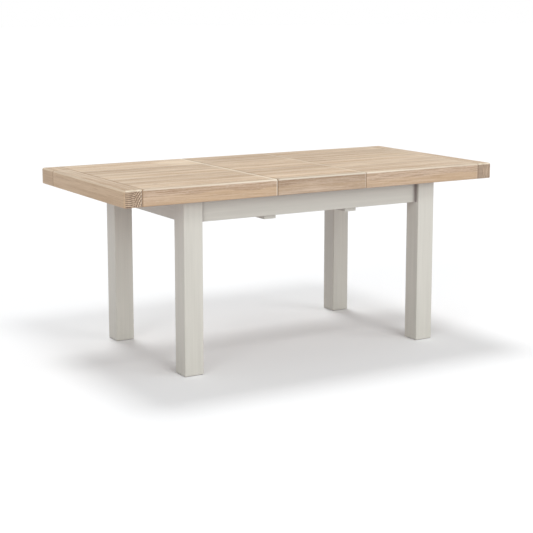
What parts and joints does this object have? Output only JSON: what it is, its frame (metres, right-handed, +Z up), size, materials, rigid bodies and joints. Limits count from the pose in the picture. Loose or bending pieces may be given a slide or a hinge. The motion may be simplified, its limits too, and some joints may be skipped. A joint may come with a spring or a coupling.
{
  "type": "extending dining table",
  "caption": "Rectangular extending dining table: thick limed-wood top on square painted legs; two ends slide apart and a folding centre leaf swings down to store beneath.",
  "frame": {"origin": "on the floor under the middle of the top, with the leaf in place", "axes": "+X along the table from the left end to the right end, +Y from the front edge to the rear edge, +Z up"},
  "size_m": [1.79, 0.855, 0.78],
  "materials": {
    "limed_oak": "limed, matt lacquered oak",
    "warm_grey_paint": "satin warm grey paint on wood",
    "bare_hardwood": "planed, unfinished",
    "mechanism_steel": "black powder coat",
    "zinc_steel": "bright zinc plate",
    "hinge_brass": "satin",
    "glide_plastic": "matt"
  },
  "bodies": {
    "frame": {"arm_base_brackets": "mechanism_steel", "base_bracket_screws": "zinc_steel", "batten_screws": "zinc_steel", "corner_bolts": "zinc_steel", "corner_nuts": "zinc_steel", "corner_washers": "zinc_steel", "foot_glides": "glide_plastic", "front_apron": "warm_grey_paint", "front_guide_rail": "bare_hardwood", "front_left_corner_block": "bare_hardwood", "front_left_leg": "warm_grey_paint", "front_right_corner_block": "bare_hardwood", "front_right_leg": "warm_grey_paint", "left_apron": "warm_grey_paint", "left_batten": "warm_grey_paint", "rail_screws": "zinc_steel", "rail_spacers": "bare_hardwood", "rear_apron": "warm_grey_paint", "rear_guide_rail": "bare_hardwood", "rear_left_corner_block": "bare_hardwood", "rear_left_leg": "warm_grey_paint", "rear_right_corner_block": "bare_hardwood", "rear_right_leg": "warm_grey_paint", "right_apron": "warm_grey_paint", "right_batten": "warm_grey_paint"},
    "left_top": {"left_end_board": "limed_oak", "left_front_edge": "limed_oak", "left_front_runner": "bare_hardwood", "left_rear_edge": "limed_oak", "left_rear_runner": "bare_hardwood", "left_stop_bar": "bare_hardwood", "left_top_planks": "limed_oak", "left_top_screws": "zinc_steel"},
    "right_top": {"right_end_board": "limed_oak", "right_front_edge": "limed_oak", "right_front_runner": "bare_hardwood", "right_rear_edge": "limed_oak", "right_rear_runner": "bare_hardwood", "right_stop_bar": "bare_hardwood", "right_top_planks": "limed_oak", "right_top_screws": "zinc_steel"},
    "front_arms": {"front_cross_shaft": "mechanism_steel", "front_swing_arms": "mechanism_steel"},
    "rear_arms": {"rear_cross_shaft": "mechanism_steel", "rear_swing_arms": "mechanism_steel"},
    "leaf_front": {"arm_head_brackets": "mechanism_steel", "arm_head_pins": "mechanism_steel", "leaf_front_cleat": "bare_hardwood", "leaf_front_edge": "limed_oak", "leaf_front_hinge_plates": "hinge_brass", "leaf_front_planks": "limed_oak", "leaf_front_screws": "zinc_steel"},
    "fold_link": {"fold_links": "hinge_brass"},
    "leaf_rear": {"leaf_rear_cleat": "bare_hardwood", "leaf_rear_edge": "limed_oak", "leaf_rear_hinge_plates": "hinge_brass", "leaf_rear_planks": "limed_oak", "leaf_rear_screws": "zinc_steel"}
  },
  "joints": [
    {"name": "left_top_slide", "type": "slide", "parent": "frame", "child": "left_top", "axis": [-1, 0, 0], "range_m": [0, 0.045]},
    {"name": "right_top_slide", "type": "slide", "parent": "frame", "child": "right_top", "axis": [1, 0, 0], "range_m": [0, 0.045]},
    {"name": "leaf_swing", "type": "hinge", "parent": "frame", "child": "front_arms", "pos_m": [0, -0.1385, 0.64], "axis": [-1, 0, 0], "range_deg": [0, 125.09]},
    {"name": "rear_arms_swing", "type": "hinge", "parent": "frame", "child": "rear_arms", "pos_m": [0, 0.0315, 0.64], "axis": [-1, 0, 0], "range_deg": [0, 125.09]},
    {"name": "leaf_level", "type": "hinge", "parent": "front_arms", "child": "leaf_front", "pos_m": [0, -0.23, 0.745], "axis": [-1, 0, 0], "range_deg": [-125.09, 0]},
    {"name": "fold_link_pivot", "type": "hinge", "parent": "leaf_front", "child": "fold_link", "pos_m": [0, -0.0034, 0.777], "axis": [1, 0, 0], "range_deg": [0, 90]},
    {"name": "leaf_fold", "type": "hinge", "parent": "leaf_front", "child": "leaf_rear", "pos_m": [0, 0, 0.7804], "axis": [1, 0, 0], "range_deg": [0, 180]}
  ],
  "couplings": [
    {"joint": "rear_arms_swing", "follows": "leaf_swing", "ratio": 1},
    {"joint": "leaf_level", "follows": "leaf_swing", "ratio": -1},
    {"joint": "fold_link_pivot", "follows": "leaf_swing", "ratio": 0.71948},
    {"joint": "leaf_fold", "follows": "leaf_swing", "ratio": 1.439}
  ]
}
